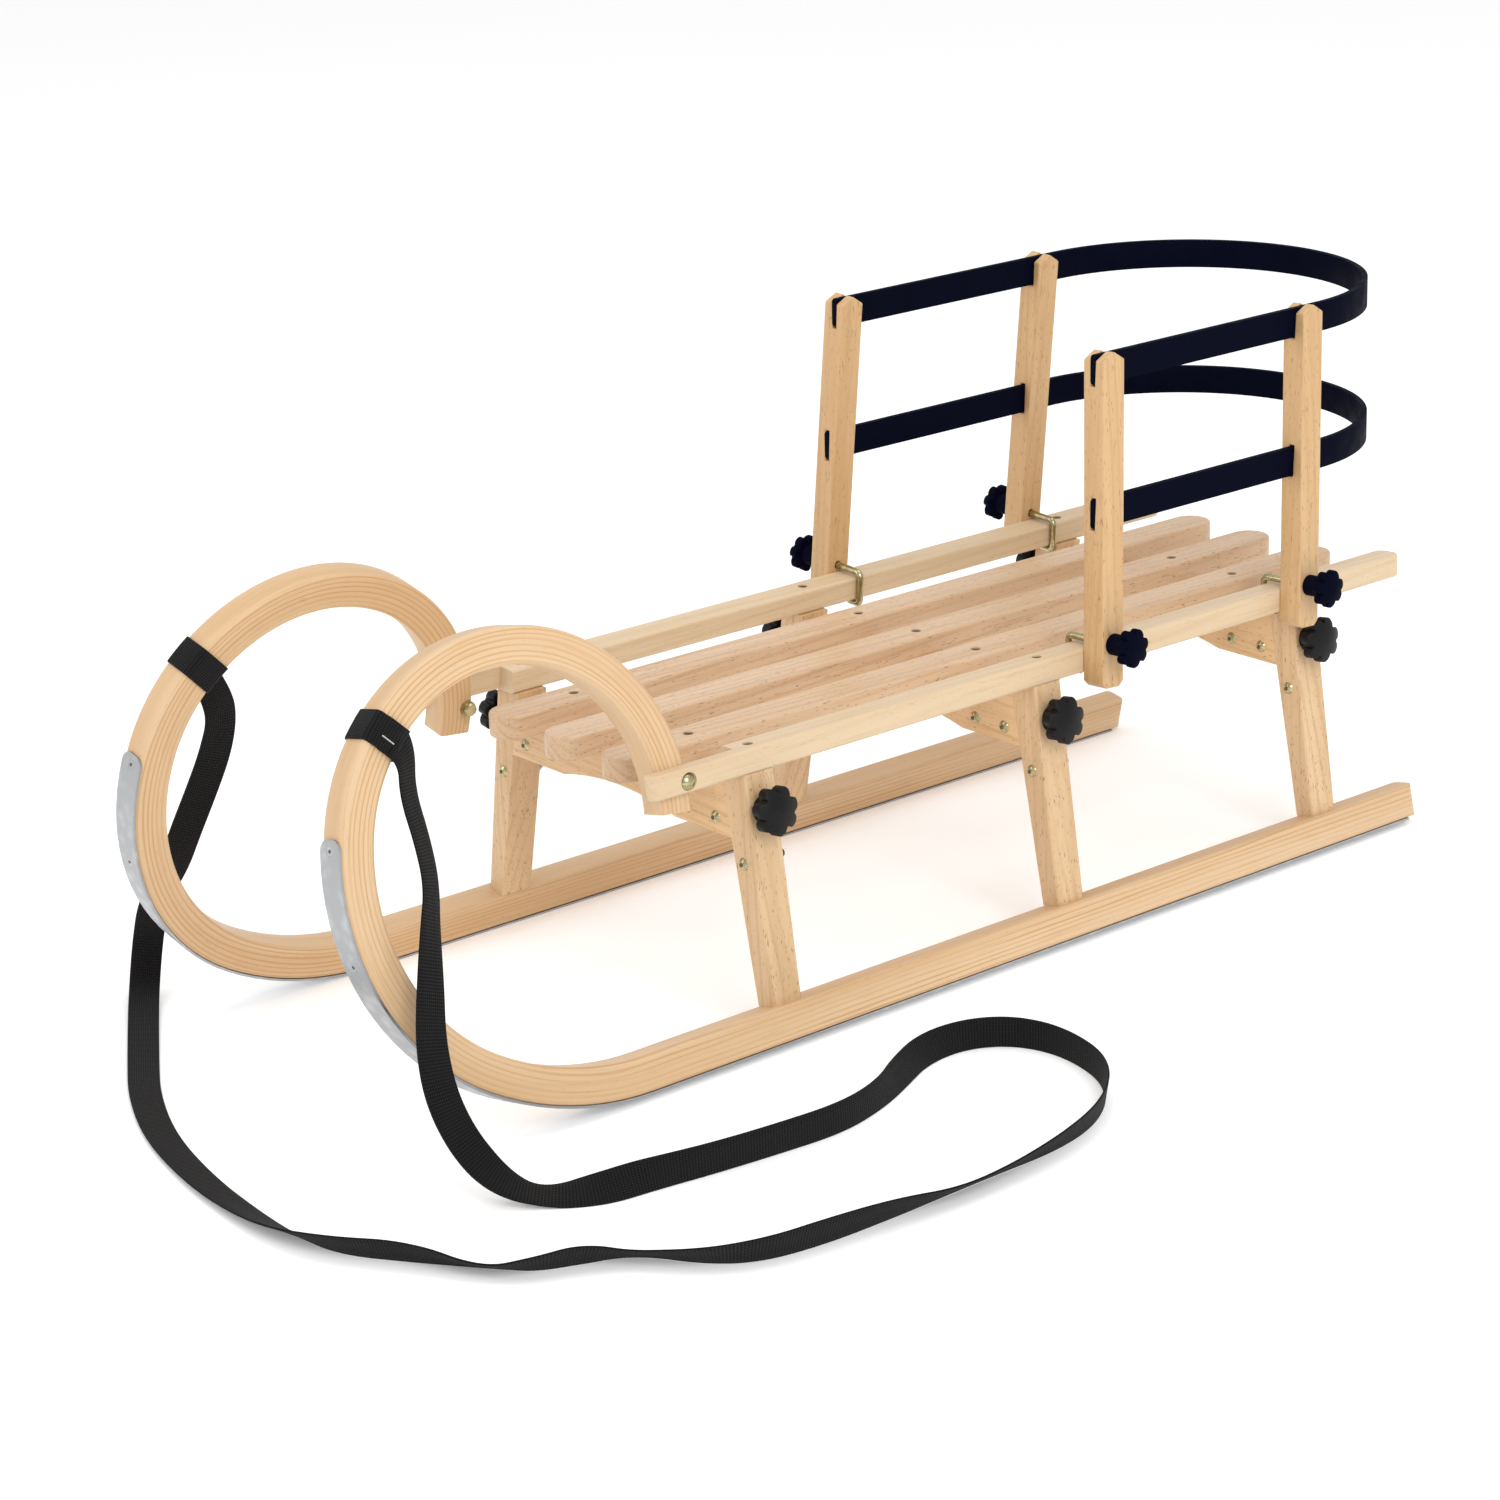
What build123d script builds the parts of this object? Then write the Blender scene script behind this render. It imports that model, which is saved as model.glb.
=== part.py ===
"""Wooden horned toboggan with a clamp-on backrest for a child.

+X points forward, to the horns, +Y to the sled's left and +Z up. The origin is on the ground, under the
middle of the sled without its pull strap. Sizes are in millimetres and angles in degrees. X stations are
given from the middle trestle's front face and shifted by mid_x when a piece is placed.
"""
import os
from math import atan2, cos, degrees, hypot, pi, radians, sin, tan

from build123d import *

os.makedirs("parts", exist_ok=True)

# ---- Trestles: a yoke between two splayed, tapered legs ----------------------------------------------
trestle_pitch = 311.0
leg_w = 30.0              # along X, the same as the yoke's thickness
leg_foot_outer, leg_foot_inner = 187.0, 168.5    # Y of the leg's faces at its foot
leg_foot_z = 32.0         # height at which the foot widths are taken
leg_top_t = 28.5          # leg's thickness under the outer slat
leg_top_inset = 1.4       # leg's top edge inside the outer slat's lower edge
tenon_l, tenon_t, tenon_w = 15.0, 10.0, 20.0
tenon_gap, tenon_shift = 0.15, 1.5     # clearance, and offset inwards from the runner's middle
mortise_extra = 1.0       # free depth below a tenon
yoke_low_z = 164.0        # underside beside the legs
yoke_arch = 9.0           # rise of the underside at the centre
yoke_arch_half = 72.0
knob_z = 190.0            # where a leg knob's stud crosses the leg's outer face

# ---- Runners: bent wood, leaning in so that they run on their inner edge -----------------------------
track_half = 174.4        # centre plane to the runner's inner bottom edge
runner_w = 26.0
runner_h = 29.0
runner_cant = 12.0        # lean of the whole bent runner
runner_rear_over = 127.0  # rear end behind the rear trestle's front face
straight_over = 130.0     # end of the straight stretch ahead of the front trestle's front face
rise_r, rise_turn = 248.0, 31.7     # inner radius and turn of the three bends
front_r, front_turn = 167.0, 72.8
horn_r, horn_turn = 130.3, 171.5
runner_end_r = 8.0

# ---- Steel guards under the runners ------------------------------------------------------------------
guard_t = 2.0
guard_inset = 0.5         # guard edge inside the runner's edge
guard_end_gap = 12.0      # bare wood at the runner's rear end
guard_tip_turn = 72.4     # turn of the front bend covered by the guard
guard_tip_r = 9.0
guard_screw_r, guard_head_r, guard_screw_l = 1.7, 3.5, 18.0
guard_screw_gap, guard_screw_sink = 0.1, 0.2
guard_arc_screws = (11.6, -13.8, -40.0)          # places on the front bend
guard_flat_screws = (1.06, 0.48, -0.1, -0.68, -1.3)      # places on the straight, in trestle pitches

# ---- Seat slats --------------------------------------------------------------------------------------
rail_w, rail_h = 26.0, 20.5        # outer slats
rail_cant = 3.0
rail_outer_y, rail_top_z = 160.3, 240.3
rail_front_over, rail_rear_over = 91.0, 142.0    # beyond the end trestles' front faces
rail_end_r = 10.0
notch_over = 2.0                   # rear end of the half-lap for the horn's tail, same reference
notch_gap = 0.2
slat_w, slat_h = 37.0, 20.5        # inner slats
slat_pitch = 74.0
slat_top_z = 230.5
slat_front_over, slat_rear_over = 67.0, 135.0
edge_r = 2.5
slat_screw_r, slat_head_r, slat_head_h, slat_screw_l = 2.2, 4.2, 2.6, 42.0
slat_screw_sink, slat_screw_gap = 1.2, 0.1

# ---- Corner fixings ----------------------------------------------------------------------------------
bolt_r, bolt_head_r, bolt_head_h, bolt_gap = 3.0, 5.3, 3.2, 0.2
brace_t, brace_w = 3.0, 17.0
nut_r, nut_h = 4.6, 6.0
brace_bolts_yz = ((88.5, 177.0), (123.5, 177.0), (156.5, 146.0))
horn_bolt_x, horn_bolt_z = 366.0, 229.0
horn_bolt_r, horn_head_r, horn_head_h = 4.0, 7.0, 4.0
horn_nut_r, horn_nut_h = 6.5, 7.0
spot_face = 1.3           # depth of the seat cut for the horn bolt's head

# ---- Knobs -------------------------------------------------------------------------------------------
lobes, lobe_turn = 7, -15.0
lobe_share, dome_share = 0.27, 2.1      # lobe's and front dome's radius, in knob radii
knob_edge_r = 1.2
leg_knob_r, leg_knob_h, leg_hub_r, leg_hub_h = 20.0, 14.0, 11.0, 9.0
stud_r = 4.0
insert_r, insert_l, insert_sink = 6.0, 11.0, 0.8
back_knob_r, back_knob_h, back_hub_r, back_hub_h = 16.5, 11.0, 9.0, 17.0
clear = 0.3               # between pieces that move on each other

# ---- Backrest ----------------------------------------------------------------------------------------
post_w, post_t = 24.0, 23.0
post_low_z, post_top_z = 208.5, 487.0
post_front_back = 38.0    # front hooks behind the middle trestle
post_rear_ahead = 5.0     # rear hooks ahead of the rear trestle
post_lean = 3.3           # rearward
post_chamfer, post_ridge = 4.5, 7.0
band_h, band_t = 25.0, 5.0
band_seat = 10.5          # band's middle from the post's inner face
band_side_gap, band_end_gap = 0.3, 1.0
upper_band_z, lower_band_z = 460.5, 342.0        # undersides
band_turn_back = 19.0     # straight stretch of a band behind the rear posts' middle
hook_r, hook_bend_r = 3.0, 5.0
hook_lift = 2.0           # hook's rod above the outer slat
hook_under = 0.5          # hook's return below the outer slat
hook_lip = 10.0           # reach of the return under the slat
hook_travel, hook_hold = 8.0, 3.0   # way that a hook can be let out, and thread then left in its knob
knob_cap = 2.0            # closed end of a backrest knob

# ---- Pull strap --------------------------------------------------------------------------------------
strap_w, strap_t, strap_gap = 25.0, 1.6, 0.2
loop_angle = 45.5         # place of the sewn loop on the horn's bend
tie_gap, tie_inward = 1.5, 3.0     # start of the hanging strap, clear of the loop

# ---- Derived places ----------------------------------------------------------------------------------
cant = radians(runner_cant)
slant = radians(rail_cant)
lean = radians(post_lean)
rail_out = Vector(0, cos(slant), sin(slant))     # across an outer slat, outwards
rail_up = Vector(0, -sin(slant), cos(slant))
runner_rear = -(trestle_pitch + runner_rear_over)
straight_front = trestle_pitch + straight_over
rail_front, rail_rear = trestle_pitch + rail_front_over, -(trestle_pitch + rail_rear_over)
slat_front, slat_rear = trestle_pitch + slat_front_over, -(trestle_pitch + slat_rear_over)
notch_shoulder = trestle_pitch + notch_over
post_front_x, post_rear_x = -(leg_w + post_front_back), post_rear_ahead - trestle_pitch
hook_up = hook_lift + hook_r
wood_v = guard_t          # runner's underside in its own side view
top_v = guard_t + runner_h


def bend_centres():
    """Centres of the runner's three bends in its own side view."""
    centres = []
    x, v, angle = straight_front, top_v, 0.0
    for radius, turn in ((rise_r, rise_turn), (front_r, front_turn), (horn_r, horn_turn)):
        centre_x = x - radius * sin(radians(angle))
        centre_v = v + radius * cos(radians(angle))
        centres.append((centre_x, centre_v))
        angle += turn
        x = centre_x + radius * sin(radians(angle))
        v = centre_v - radius * cos(radians(angle))
    return centres


rise_c, front_c, horn_c = bend_centres()


def post_inner_y(z):
    """Y of a post's inner face: it leans in as the outer slat's side does."""
    return rail_outer_y + clear / cos(slant) - (z - rail_top_z) * tan(slant)


def post_x(station, z):
    """X of a post's middle at height z, leaning back from its hook's height."""
    return station - (z - rail_top_z - hook_up) * tan(lean)


def band_centre(low_z):
    """Radius and X of the bend of a band with its underside at low_z."""
    mid_z = low_z + band_h / 2
    return post_inner_y(mid_z) + band_seat, post_x(post_rear_x, mid_z) - band_turn_back


def band_reach(low_z):
    radius, centre_x = band_centre(low_z)
    return centre_x - radius - band_t / 2


front_reach = front_c[0] + front_r + runner_h + guard_t
rear_reach = min(band_reach(upper_band_z), band_reach(lower_band_z))
mid_x = -(front_reach + rear_reach) / 2          # middle trestle's front face in the part's frame

trestles = {"front": mid_x + trestle_pitch, "middle": mid_x, "rear": mid_x - trestle_pitch}
outer_edge_y = track_half + runner_w * cos(cant)
outer_edge_z = (runner_w - guard_inset) * sin(cant)     # the guard's inner edge is on the ground
# Side view of the left runner, on its outer face: X forward, Y up the leaning face, Z inwards.
side = Plane(origin=(mid_x, outer_edge_y, outer_edge_z), x_dir=(1, 0, 0), z_dir=(0, -cos(cant), -sin(cant)))
# Top face of the left outer slat, on its outer edge: X forward, Y outwards, Z up.
rail = Plane(origin=(mid_x, rail_outer_y, rail_top_z), x_dir=(1, 0, 0), z_dir=rail_up)


def rail_point(x, out, up):
    """A point along, across and above the left outer slat, from its outer top edge."""
    return rail.from_local_coords((x, out, up))


def side_point(x, v, inward=0.0):
    """A point of the left runner's side view, on its outer face or further in."""
    return side.from_local_coords((x, v, inward))


def meet(a, b, c, d):
    """Crossing of the line through a and b with the line through c and d."""
    ux, uy, vx, vy = b[0] - a[0], b[1] - a[1], d[0] - c[0], d[1] - c[1]
    t = ((c[0] - a[0]) * vy - (c[1] - a[1]) * vx) / (ux * vy - uy * vx)
    return a[0] + t * ux, a[1] + t * uy


def yz(point):
    return point.Y, point.Z


leg_top_out = yz(rail_point(0, -leg_top_inset, -rail_h))
leg_top_in = yz(rail_point(0, -leg_top_inset - leg_top_t, -rail_h))
foot_out, foot_in = (leg_foot_outer, leg_foot_z), (leg_foot_inner, leg_foot_z)
runner_top = (yz(side_point(0, top_v)), yz(side_point(0, top_v, runner_w)))
leg_corners = [meet(foot_out, leg_top_out, *runner_top), leg_top_out, leg_top_in,
               meet(foot_in, leg_top_in, *runner_top)]
leg_splay = atan2(leg_foot_outer - leg_top_out[0], leg_top_out[1] - leg_foot_z)
leg_out = Vector(0, cos(leg_splay), sin(leg_splay))
knob_spot = meet(foot_out, leg_top_out, (0, knob_z), (1, knob_z))
knob_inside = meet(foot_in, leg_top_in, knob_spot, (knob_spot[0] - leg_out.Y, knob_spot[1] - leg_out.Z))
leg_bore = hypot(knob_spot[0] - knob_inside[0], knob_spot[1] - knob_inside[1])
stud_l = leg_bore + insert_sink + insert_l


def save(part, name):
    part.label = name
    export_step(part, f"parts/{name}.step")


def save_pair(part, name):
    """A left piece and its mirror image on the right."""
    save(part, f"{name}_left")
    save(mirror(part, about=Plane.XZ), f"{name}_right")


def save_set(pieces, name):
    """Separate identical pieces kept together."""
    save(Compound(children=pieces), name)


def with_mirror(pieces):
    """Pieces on the left and their mirror images."""
    return pieces + [mirror(piece, about=Plane.XZ) for piece in pieces]


def rod(plane, radius, low, high):
    """A round bar on a plane's axis between two heights."""
    return plane * Pos(0, 0, (low + high) / 2) * Cylinder(radius, high - low, mode=Mode.PRIVATE)


def countersunk(plane, shank, head, head_h, length):
    """A countersunk screw, head uppermost at the plane."""
    cone = plane * Pos(0, 0, -head_h / 2) * Cone(shank, head, head_h, mode=Mode.PRIVATE)
    return cone + rod(plane, shank, -length, -head_h / 2)


def domed_bolt(plane, shank, head, head_h, length):
    """A domed head standing on the plane, with its shank below."""
    dome_r = (head ** 2 + head_h ** 2) / (2 * head_h)
    ball = plane * Pos(0, 0, head_h - dome_r) * Sphere(dome_r, mode=Mode.PRIVATE)
    keep = rod(plane, head + 1, 0, head_h + 1)
    return (ball & keep) + rod(plane, shank, -length, 0.5)


def cap_nut(plane, shank, radius, height):
    """A dome nut standing on the plane, bored to a slip fit over a bolt's end."""
    body = rod(plane, radius, 0, height * 0.55)
    top = plane * Pos(0, 0, height * 0.55) * Sphere(radius * 0.92, mode=Mode.PRIVATE)
    keep = rod(plane, radius + 1, height * 0.3, height)
    return body + (top & keep) - rod(plane, shank, -1, height * 0.6)


def star_knob(plane, radius, height, hub_r, hub_h):
    """A domed knob with round lobes on its hub, standing off the plane."""
    lobe_r = radius * lobe_share
    dome = radius * dome_share
    ball = plane * Pos(0, 0, hub_h + height - dome) * Sphere(dome, mode=Mode.PRIVATE)
    with BuildPart() as knob:
        with BuildSketch(plane.offset(hub_h)):
            Circle(radius - lobe_r)
            with PolarLocations(radius - lobe_r, lobes, start_angle=lobe_turn):
                Circle(lobe_r)
        extrude(amount=height)
        add(ball, mode=Mode.INTERSECT)
        fillet(knob.faces().sort_by(Axis(plane.origin, plane.z_dir))[0].edges(), knob_edge_r)
        with BuildSketch(plane):
            Circle(hub_r)
        extrude(amount=hub_h + 1)
    return knob.part


# Seats of the left guard's screws: Z out of the steel.
guard_seats = []
for arc_deg in guard_arc_screws:
    reach = front_r + runner_h + guard_t
    arc_a = radians(arc_deg)
    seat = side_point(front_c[0] + reach * cos(arc_a), front_c[1] + reach * sin(arc_a), runner_w / 2)
    guard_seats.append(Plane(origin=seat, z_dir=side.x_dir * cos(arc_a) + side.y_dir * sin(arc_a)))
for share in guard_flat_screws:
    seat = side_point(share * trestle_pitch, 0, runner_w / 2)
    guard_seats.append(Plane(origin=seat, z_dir=side.y_dir * -1))

screw_stations = [x - leg_w / 2 for x in trestles.values()]
rail_screw_seats = [Plane(origin=rail_point(x - mid_x, -rail_w / 2, -slat_screw_sink), z_dir=rail_up)
                    for x in screw_stations]
slat_screw_seats = [Plane(origin=(x, row * slat_pitch, slat_top_z - slat_screw_sink), z_dir=(0, 0, 1))
                    for x in screw_stations for row in (-1, 0, 1)]
horn_bolt_seat = Plane(origin=rail_point(horn_bolt_x, 0, (horn_bolt_z - rail_top_z) / cos(slant)),
                       x_dir=(1, 0, 0), z_dir=side.z_dir * -1)

# ---- Runners -----------------------------------------------------------------------------------------
with BuildPart() as runner_left:
    with BuildSketch(side):
        with BuildLine():
            low = Line((runner_rear, wood_v), (straight_front, wood_v))
            out_1 = JernArc(low @ 1, (1, 0), rise_r + runner_h, rise_turn)
            out_2 = JernArc(out_1 @ 1, out_1 % 1, front_r + runner_h, front_turn)
            out_3 = JernArc(out_2 @ 1, out_2 % 1, horn_r + runner_h, horn_turn)
            top = Line((runner_rear, top_v), (straight_front, top_v))
            in_1 = JernArc(top @ 1, (1, 0), rise_r, rise_turn)
            in_2 = JernArc(in_1 @ 1, in_1 % 1, front_r, front_turn)
            in_3 = JernArc(in_2 @ 1, in_2 % 1, horn_r, horn_turn)
            Line(out_3 @ 1, in_3 @ 1)
            Line(low @ 0, top @ 0)
        make_face()
    extrude(amount=runner_w)
    ends = runner_left.faces().sort_by(Axis.X)[0].edges().filter_by(Axis(side.origin, side.y_dir))
    fillet(ends, runner_end_r)
    for station in trestles.values():
        with BuildSketch(Plane(origin=side_point(station - mid_x - leg_w / 2, top_v, runner_w / 2 + tenon_shift),
                               x_dir=(1, 0, 0), z_dir=side.y_dir)):
            Rectangle(tenon_w + 2 * tenon_gap, tenon_t + 2 * tenon_gap)
        extrude(amount=-tenon_l - mortise_extra, mode=Mode.SUBTRACT)
    for seat in guard_seats:
        add(rod(seat, guard_screw_r + guard_screw_gap, -guard_screw_l - 1, 0), mode=Mode.SUBTRACT)
    add(rod(horn_bolt_seat, horn_bolt_r + bolt_gap, -60, 20), mode=Mode.SUBTRACT)
save_pair(runner_left.part, "runner")

# ---- Guards ------------------------------------------------------------------------------------------
with BuildPart() as guard_left:
    with BuildSketch(side.offset(guard_inset)):
        with BuildLine():
            low = Line((runner_rear + guard_end_gap, 0), (straight_front, 0))
            out_1 = JernArc(low @ 1, (1, 0), rise_r + runner_h + guard_t, rise_turn)
            out_2 = JernArc(out_1 @ 1, out_1 % 1, front_r + runner_h + guard_t, guard_tip_turn)
            top = Line((runner_rear + guard_end_gap, wood_v), (straight_front, wood_v))
            in_1 = JernArc(top @ 1, (1, 0), rise_r + runner_h, rise_turn)
            in_2 = JernArc(in_1 @ 1, in_1 % 1, front_r + runner_h, guard_tip_turn)
            Line(out_2 @ 1, in_2 @ 1)
            Line(low @ 0, top @ 0)
        make_face()
    extrude(amount=runner_w - 2 * guard_inset)
    tip = guard_left.faces().sort_by(Axis.Z)[-1]
    fillet(tip.edges().sort_by(Axis.Y)[0], guard_tip_r)
    tip = guard_left.faces().filter_by(GeomType.PLANE).sort_by(Axis.Z)[-1]
    fillet(tip.edges().sort_by(Axis.Y)[-1], guard_tip_r)
    for seat in guard_seats:
        flare = (guard_head_r - guard_screw_r) * (guard_t + guard_screw_sink) / (guard_t - guard_screw_sink)
        bottom_r = guard_screw_r + guard_screw_gap
        hole = Cone(bottom_r, bottom_r + flare, guard_t + guard_screw_sink, mode=Mode.PRIVATE)
        add(seat * Pos(0, 0, (guard_screw_sink - guard_t) / 2) * hole, mode=Mode.SUBTRACT)
save_pair(guard_left.part, "runner_guard")
guard_head_h = guard_t - guard_screw_sink
guard_screws = [countersunk(seat.offset(-guard_screw_sink), guard_screw_r, guard_head_r, guard_head_h,
                            guard_screw_l) for seat in guard_seats]
save_set(with_mirror(guard_screws), "guard_screws")

# ---- Trestles ----------------------------------------------------------------------------------------
yoke_top_z = slat_top_z - slat_h


def stud_plane(station):
    """Where a knob sits on the left leg of a trestle: Z out of the leg's outer face."""
    return Plane(origin=(station - leg_w / 2, knob_spot[0], knob_spot[1]), x_dir=(1, 0, 0), z_dir=leg_out)


def bolt_planes(station, sides):
    """Bolt stations on a trestle's front face: Z forward."""
    return [Plane(origin=(station, s * y, z), z_dir=(1, 0, 0)) for s in sides for y, z in brace_bolts_yz]


def yoke_end(z):
    return meet(foot_in, leg_top_in, (0, z), (1, z))


for place, station in trestles.items():
    front = Plane(origin=(station, 0, 0), x_dir=(0, 1, 0), z_dir=(1, 0, 0))
    with BuildPart() as leg_left:
        with BuildSketch(front):
            Polygon(*leg_corners, align=None)
        extrude(amount=-leg_w)
        fillet(leg_left.edges().filter_by(Axis(origin=(0, 0, 0), direction=(0, -sin(leg_splay), cos(leg_splay)))),
               edge_r)
        with BuildSketch(Plane(origin=side_point(station - mid_x - leg_w / 2, top_v, runner_w / 2 + tenon_shift),
                               x_dir=(1, 0, 0), z_dir=side.y_dir)):
            Rectangle(tenon_w, tenon_t)
        extrude(amount=-tenon_l)
        add(rod(stud_plane(station), stud_r + clear, -60, 5), mode=Mode.SUBTRACT)
        add(rod(bolt_planes(station, (1,))[2], bolt_r + bolt_gap, -leg_w - 1, 1), mode=Mode.SUBTRACT)
        pilot = rail_screw_seats[screw_stations.index(station - leg_w / 2)]
        add(rod(pilot, slat_screw_r + slat_screw_gap, -slat_screw_l - 1, 0), mode=Mode.SUBTRACT)
    save_pair(leg_left.part, f"leg_{place}")

    with BuildPart() as yoke:
        with BuildSketch(front):
            with BuildLine():
                top = Line((-yoke_end(yoke_top_z)[0], yoke_top_z), (yoke_end(yoke_top_z)[0], yoke_top_z))
                down = Line(top @ 1, yoke_end(yoke_low_z))
                left = Line(down @ 1, (yoke_arch_half, yoke_low_z))
                arch = ThreePointArc(left @ 1, (0, yoke_low_z + yoke_arch), (-yoke_arch_half, yoke_low_z))
                right = Line(arch @ 1, (-yoke_end(yoke_low_z)[0], yoke_low_z))
                Line(right @ 1, top @ 0)
            make_face()
        extrude(amount=-leg_w)
        for bolt in bolt_planes(station, (1, -1)):
            add(rod(bolt, bolt_r + bolt_gap, -leg_w - 1, 1), mode=Mode.SUBTRACT)
        bores = [rod(stud_plane(station), insert_r, -stud_l - 1.5, 0)]
        for bore in with_mirror(bores):
            add(bore, mode=Mode.SUBTRACT)
        for pilot in slat_screw_seats:
            add(rod(pilot, slat_screw_r + slat_screw_gap, -slat_screw_l - 1, 0), mode=Mode.SUBTRACT)
    save(yoke.part, f"yoke_{place}")

# ---- Corner braces and their bolts -------------------------------------------------------------------
brace_bolts, brace_nuts, inserts = [], [], []
for place, station in trestles.items():
    with BuildPart() as brace_left:
        back = Plane(origin=(station - leg_w, 0, 0), x_dir=(0, 1, 0), z_dir=(1, 0, 0))
        with BuildSketch(back):
            for (y1, z1), (y2, z2) in zip(brace_bolts_yz, brace_bolts_yz[1:]):
                with Locations(((y1 + y2) / 2, (z1 + z2) / 2)):
                    SlotCenterToCenter(hypot(y2 - y1, z2 - z1), brace_w, rotation=degrees(atan2(z2 - z1, y2 - y1)))
            with Locations(*brace_bolts_yz):
                Circle(bolt_r + bolt_gap, mode=Mode.SUBTRACT)
        extrude(amount=-brace_t)
    save_pair(brace_left.part, f"corner_brace_{place}")
    shank = leg_w + brace_t + nut_h / 2
    brace_bolts += [domed_bolt(p, bolt_r, bolt_head_r, bolt_head_h, shank) for p in bolt_planes(station, (1, -1))]
    for y, z in brace_bolts_yz:
        seat = Plane(origin=(station - leg_w - brace_t, y, z), z_dir=(-1, 0, 0))
        brace_nuts += with_mirror([cap_nut(seat, bolt_r + bolt_gap, nut_r, nut_h)])
    tube = rod(stud_plane(station), insert_r, -stud_l, -leg_bore - insert_sink)
    inserts += with_mirror([tube - rod(stud_plane(station), stud_r + clear, -stud_l - 1, 0)])
    knob = star_knob(stud_plane(station).offset(clear), leg_knob_r, leg_knob_h, leg_hub_r, leg_hub_h)
    knob = knob + rod(stud_plane(station), stud_r, -stud_l, clear + 2)
    save_pair(knob, f"leg_knob_{place}")
save_set(brace_bolts, "brace_bolts")
save_set(brace_nuts, "brace_nuts")
save_set(inserts, "yoke_inserts")

# ---- Seat slats --------------------------------------------------------------------------------------
def countersink(plane):
    """The hole for a sunk slat screw, from above."""
    cone = Cone(slat_screw_r + slat_screw_gap, slat_head_r + slat_screw_gap, slat_head_h, mode=Mode.PRIVATE)
    cone = plane * Pos(0, 0, -slat_head_h / 2) * cone
    well = rod(plane, slat_head_r + slat_screw_gap, -0.01, slat_screw_sink + 2)
    return cone + well + rod(plane, slat_screw_r + slat_screw_gap, -slat_screw_l, 0)


for row, name in ((1, "slat_inner_left"), (0, "slat_middle"), (-1, "slat_inner_right")):
    with BuildPart() as slat:
        with BuildSketch(Plane(origin=(mid_x, 0, slat_top_z))):
            with Locations(((slat_front + slat_rear) / 2, row * slat_pitch)):
                SlotOverall(slat_front - slat_rear, slat_w)
        extrude(amount=-slat_h)
        rims = slat.faces().filter_by(Axis.Z)
        fillet(rims.sort_by(Axis.Z)[-1].edges() + rims.sort_by(Axis.Z)[0].edges(), edge_r)
        for seat in slat_screw_seats:
            add(countersink(seat), mode=Mode.SUBTRACT)
    save(slat.part, name)

with BuildPart() as rail_left:
    with BuildSketch(rail):
        with Locations(((rail_front + rail_rear) / 2, -rail_w / 2)):
            RectangleRounded(rail_front - rail_rear, rail_w, rail_end_r)
    extrude(amount=-rail_h)
    caps = rail_left.faces().filter_by(Axis(rail.origin, rail.z_dir)).sort_by(Axis.Z)
    fillet(caps[0].edges() + caps[-1].edges(), edge_r)
    with BuildSketch(side.offset(-notch_gap)):
        with Locations((notch_shoulder + 100, 230)):
            Rectangle(200, 120)
    extrude(amount=60, mode=Mode.SUBTRACT)
    for seat in rail_screw_seats:
        add(countersink(seat), mode=Mode.SUBTRACT)
    add(rod(horn_bolt_seat, horn_bolt_r + bolt_gap, -40, 5), mode=Mode.SUBTRACT)
    add(rod(horn_bolt_seat, horn_head_r + 0.4, -spot_face, 5), mode=Mode.SUBTRACT)
save_pair(rail_left.part, "slat_outer")

slat_screws = [countersunk(seat, slat_screw_r, slat_head_r, slat_head_h, slat_screw_l)
               for seat in slat_screw_seats + rail_screw_seats]
slat_screws += [mirror(screw, about=Plane.XZ) for screw in slat_screws[len(slat_screw_seats):]]
save_set(slat_screws, "slat_screws")

# ---- Horn bolts --------------------------------------------------------------------------------------
horn_depth = (horn_bolt_seat.origin - side.origin).dot(side.z_dir * -1) + runner_w
head_seat = horn_bolt_seat.offset(-spot_face)
horn_shank = horn_depth - spot_face + horn_nut_h / 2
save_set(with_mirror([domed_bolt(head_seat, horn_bolt_r, horn_head_r, horn_head_h, horn_shank)]), "horn_bolts")
nut_seat = horn_bolt_seat.offset(-horn_depth)
nut_seat = Plane(origin=nut_seat.origin, x_dir=(1, 0, 0), z_dir=side.z_dir)
save_set(with_mirror([cap_nut(nut_seat, horn_bolt_r + bolt_gap, horn_nut_r, horn_nut_h)]), "horn_nuts")

# ---- Backrest bands ----------------------------------------------------------------------------------
for low_z, name in ((upper_band_z, "band_upper"), (lower_band_z, "band_lower")):
    radius, centre_x = band_centre(low_z)
    end_x = mid_x + post_x(post_front_x, low_z + band_h / 2) + post_w / 2
    with BuildPart() as band:
        with BuildSketch(Plane(origin=(0, 0, low_z))):
            for rim, mode in ((radius + band_t / 2, Mode.ADD), (radius - band_t / 2, Mode.SUBTRACT)):
                with Locations((mid_x + centre_x, 0)):
                    Circle(rim, mode=mode)
            turn_x = mid_x + centre_x
            with Locations((turn_x + 500, 0)):
                Rectangle(1000, 1000, mode=Mode.SUBTRACT)
            with Locations(((turn_x + end_x) / 2, radius), ((turn_x + end_x) / 2, -radius)):
                Rectangle(end_x - turn_x, band_t)
        extrude(amount=band_h)
        fillet(band.faces().sort_by(Axis.X)[-1].edges().filter_by(Axis.Y)
               + band.faces().sort_by(Axis.X)[-2].edges().filter_by(Axis.Y), 3.0)
    save(band.part, name)

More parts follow.
